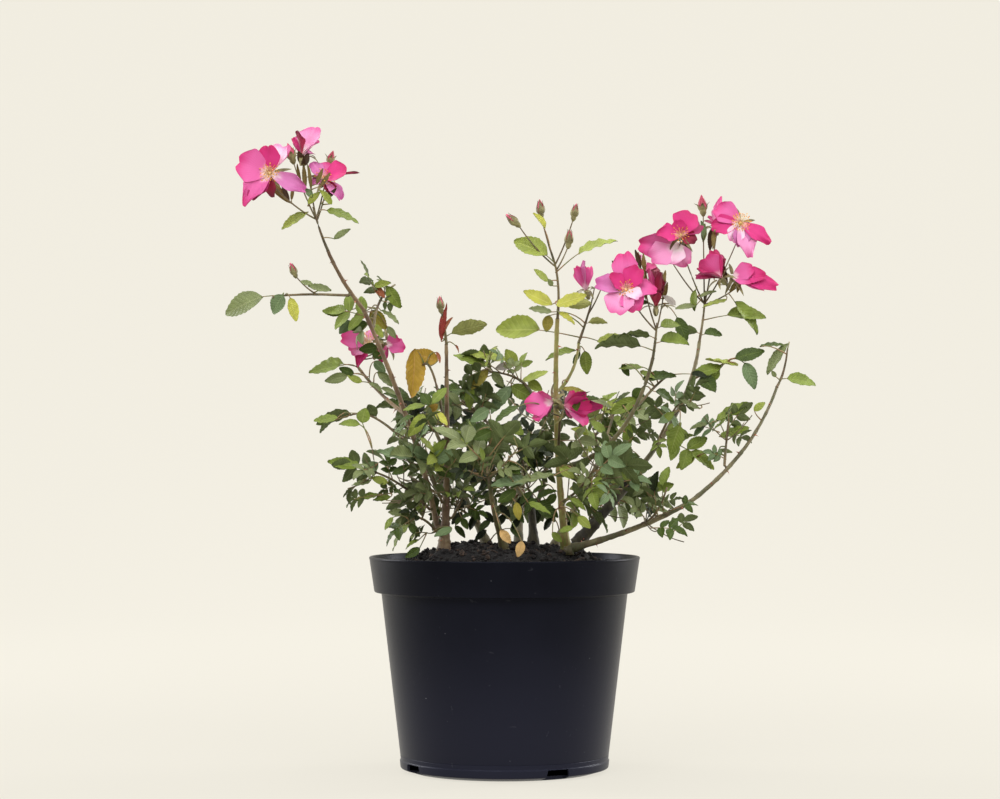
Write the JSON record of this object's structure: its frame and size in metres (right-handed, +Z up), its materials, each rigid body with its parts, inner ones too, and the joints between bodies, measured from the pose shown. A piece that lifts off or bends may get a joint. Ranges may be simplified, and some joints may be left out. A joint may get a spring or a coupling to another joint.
{
  "type": "potted rose bush",
  "caption": "Small bush rose in flower with arching canes, in a round black nursery pot filled with compost.",
  "frame": {"origin": "centre of the pot's flat underside", "axes": "+Z up along the pot's axis, -Y towards the front of the plant"},
  "size_m": [0.487, 0.286, 0.5149],
  "materials": {
    "pot": "satin black moulded plastic",
    "soil": "moist dark compost",
    "bark": "green to grey-brown cane bark",
    "leaf": "semi-gloss leaves",
    "bloom": "soft pink petals over green leaves"
  },
  "bodies": {
    "root": {"pot": "pot", "soil": "soil", "cane_left": "bark", "cane_left_tall": "bark", "shoot_left_top": "bark", "bough_left_low": "bark", "stem_main": "bark", "bough_arch": "bark", "bough_inner": "bark", "shoot_centre": "bark", "twig_centre": "bark", "cane_right_cut": "bark", "shoot_right_top": "bark", "shoot_right_mid": "bark", "sweep_lower": "bark", "sweep_upper": "bark", "cane_back_left": "bark", "cane_back": "bark", "cane_back_right": "bark", "cane_front": "bark", "bloom_left_top": "bloom", "spray_left_arm": "leaf", "spray_left_mid": "leaf", "bloom_left_low": "bloom", "spray_left_reach": "leaf", "spray_left_low": "leaf", "spray_left_foot": "leaf", "leaves_bronze": "leaf", "tip_red": "leaf", "spray_arch": "leaf", "mass_inner_left": "leaf", "bloom_centre_low": "bloom", "mass_left": "leaf", "mass_left_inner": "leaf", "mass_centre": "leaf", "mass_front": "leaf", "mass_front_right": "leaf", "mass_right": "leaf", "buds_centre_top": "leaf", "bloom_centre_mid": "bloom", "bloom_right_a": "bloom", "bloom_right_b": "bloom", "spray_right_mid": "leaf", "spray_right_inner": "leaf", "spray_right_stem": "leaf", "spray_right_back": "leaf", "spray_right_up": "leaf", "spray_right_sweep": "leaf", "spray_right_low": "leaf", "mass_back_left": "leaf", "mass_back": "leaf", "mass_back_right": "leaf", "mass_back_low": "leaf", "mass_right_low": "leaf", "mass_left_low": "leaf"}
  },
  "joints": []
}
